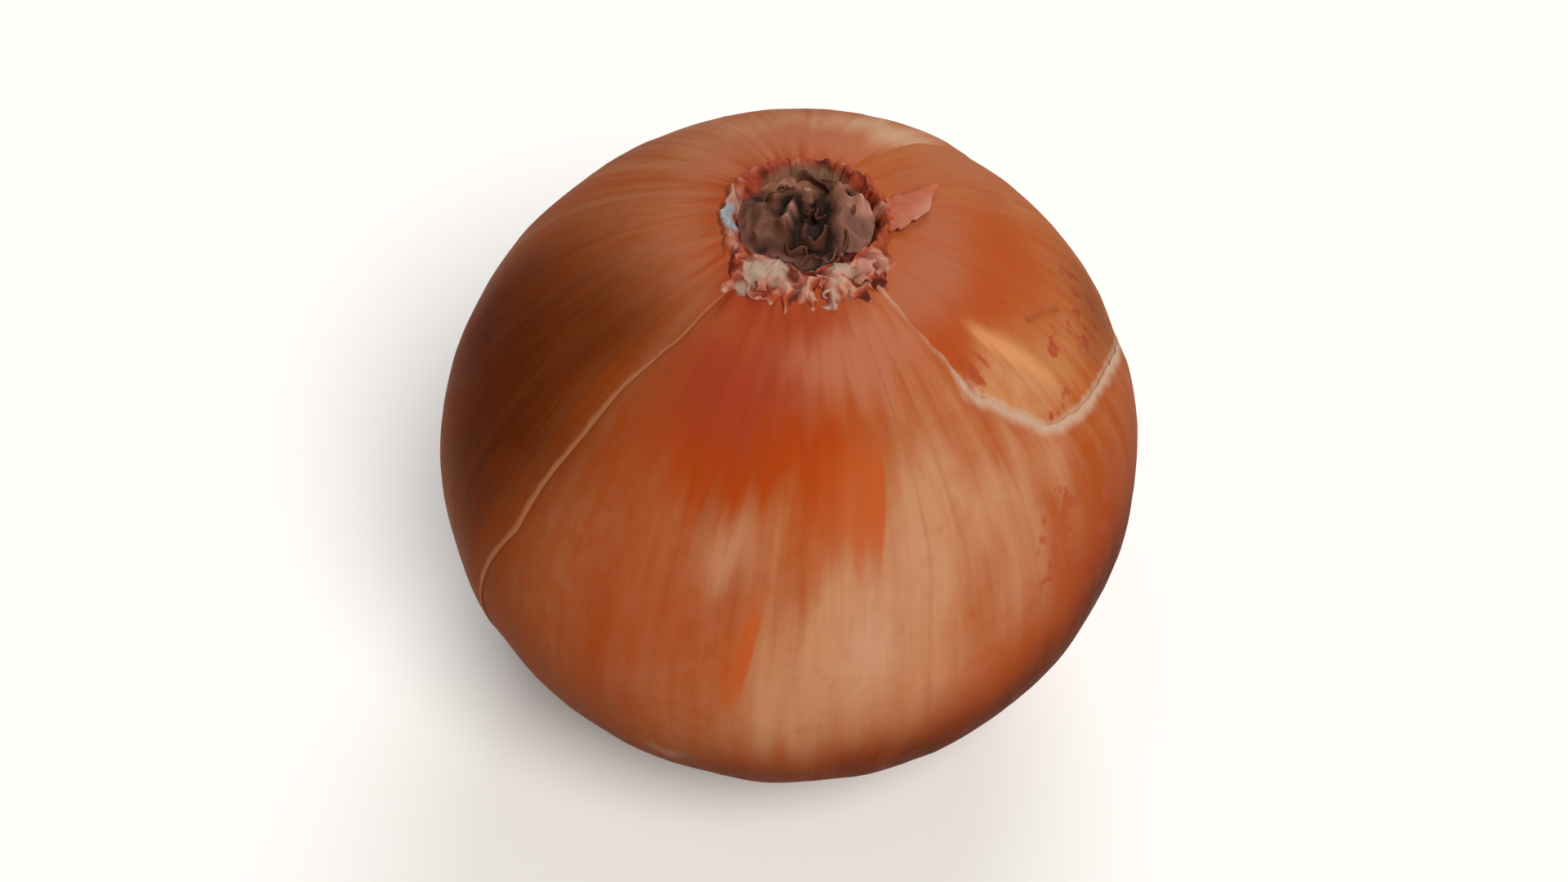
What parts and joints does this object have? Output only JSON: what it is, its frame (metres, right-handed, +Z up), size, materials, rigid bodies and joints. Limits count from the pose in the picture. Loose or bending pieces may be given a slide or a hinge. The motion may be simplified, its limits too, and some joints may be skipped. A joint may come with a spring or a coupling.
{
  "type": "onion",
  "caption": "Round brown-skinned onion bulb with a dried, tattered neck, a torn papery outer skin and a trimmed root plate.",
  "frame": {"origin": "on the surface that the onion stands on, under the middle of the bulb", "axes": "+Z up through the neck; -Y towards the front, where the skin's torn patch is to the right of the neck; +X to the right"},
  "size_m": [0.0852, 0.0841, 0.0776],
  "materials": {
    "inner_skin": "satin",
    "outer_skin": "satin",
    "torn_skin_ends": "matt",
    "dried_neck": "matt",
    "dried_roots": "matt"
  },
  "bodies": {
    "root": {"bulb": "inner_skin", "outer_skin": "outer_skin", "neck_frill": "torn_skin_ends", "neck_core": "dried_neck", "root_plate": "dried_roots"}
  },
  "joints": []
}
